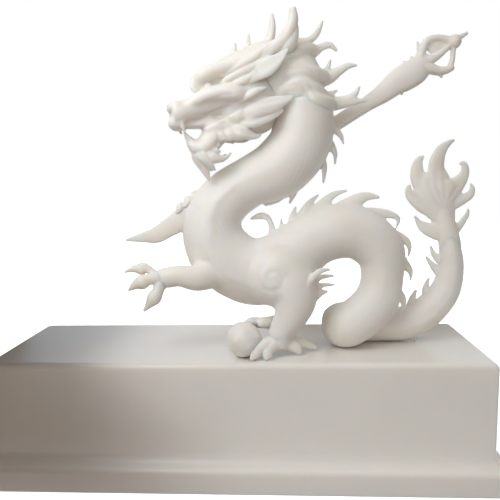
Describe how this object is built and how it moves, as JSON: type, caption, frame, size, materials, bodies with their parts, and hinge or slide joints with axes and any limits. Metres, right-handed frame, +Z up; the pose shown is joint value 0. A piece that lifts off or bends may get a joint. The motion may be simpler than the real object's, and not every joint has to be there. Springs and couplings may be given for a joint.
{
  "type": "dragon statue",
  "caption": "Coiled dragon carrying a sword behind its neck, one hind foot on a ball, standing on a long rectangular plinth with a stepped ledge.",
  "frame": {"origin": "middle of the plinth's underside", "axes": "+X along the plinth towards the dragon's tail, +Y away from the viewer of the dragon's left-facing profile, +Z up"},
  "size_m": [0.425, 0.141, 0.38],
  "materials": {
    "white_resin": "matt, slightly waxy white cast resin"
  },
  "bodies": {
    "root": {"plinth": "white_resin", "dragon": "white_resin"}
  },
  "joints": []
}
